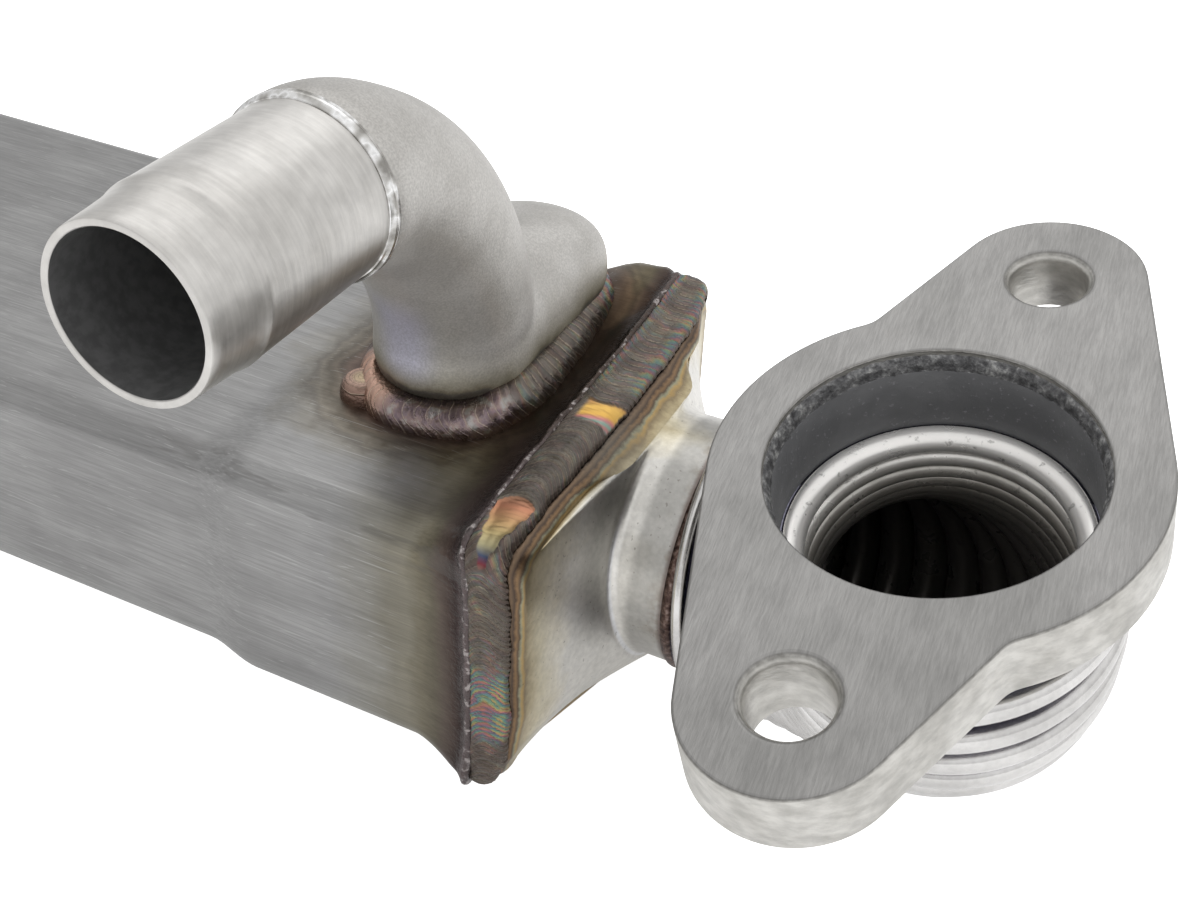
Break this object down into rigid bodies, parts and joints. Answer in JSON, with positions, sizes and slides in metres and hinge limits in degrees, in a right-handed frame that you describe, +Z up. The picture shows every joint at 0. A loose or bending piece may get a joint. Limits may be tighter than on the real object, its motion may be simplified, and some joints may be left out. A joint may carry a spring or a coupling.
{
  "type": "exhaust gas recirculation cooler",
  "caption": "Welded stainless exhaust gas cooler: rectangular tube bundle shell, two coolant elbows with hose nipples, and a bent bellows up to a two-bolt flange.",
  "frame": {"origin": "centre of the inlet flange's sealing face, where its bolt line and bore axis meet", "axes": "+X along the body from the outlet end to the inlet end, +Z up out of the face that carries the coolant elbows, -Y the way the hose nipples point"},
  "size_m": [0.3432, 0.1168, 0.0987],
  "materials": {
    "shell_steel": "satin, brushed along the body",
    "cap_steel": "satin, straw heat tint by the welds",
    "weld": "rippled, heat tinted",
    "inner_steel": "plain",
    "cast_steel": "bead blasted",
    "nipple_steel": "satin",
    "braze": "bright",
    "bellows_steel": "polished",
    "sooted_steel": "dark, dull",
    "flange_steel": "ground"
  },
  "bodies": {
    "root": {"shell": "shell_steel", "inlet_cap": "cap_steel", "outlet_cap": "cap_steel", "outlet_pipe": "cap_steel", "inlet_cap_weld": "weld", "outlet_cap_weld": "weld", "coolant_outlet_foot_weld": "weld", "coolant_inlet_foot_weld": "weld", "neck_seam_weld": "weld", "outlet_pipe_weld": "weld", "outlet_flange_weld": "weld", "bore_weld": "weld", "inlet_header_plate": "inner_steel", "outlet_header_plate": "inner_steel", "baffle_1": "inner_steel", "baffle_2": "inner_steel", "baffle_3": "inner_steel", "gas_tube_01": "inner_steel", "gas_tube_02": "inner_steel", "gas_tube_03": "inner_steel", "gas_tube_04": "inner_steel", "gas_tube_05": "inner_steel", "gas_tube_06": "inner_steel", "gas_tube_07": "inner_steel", "gas_tube_08": "inner_steel", "gas_tube_09": "inner_steel", "gas_tube_10": "inner_steel", "gas_tube_11": "inner_steel", "gas_tube_12": "inner_steel", "gas_tube_13": "inner_steel", "gas_tube_14": "inner_steel", "gas_tube_15": "inner_steel", "coolant_outlet_elbow": "cast_steel", "coolant_inlet_elbow": "cast_steel", "coolant_outlet_nipple": "nipple_steel", "coolant_inlet_nipple": "nipple_steel", "coolant_outlet_braze": "braze", "coolant_inlet_braze": "braze", "bellows": "bellows_steel", "bore_tube": "sooted_steel", "inlet_flange": "flange_steel", "outlet_flange": "flange_steel"}
  },
  "joints": []
}
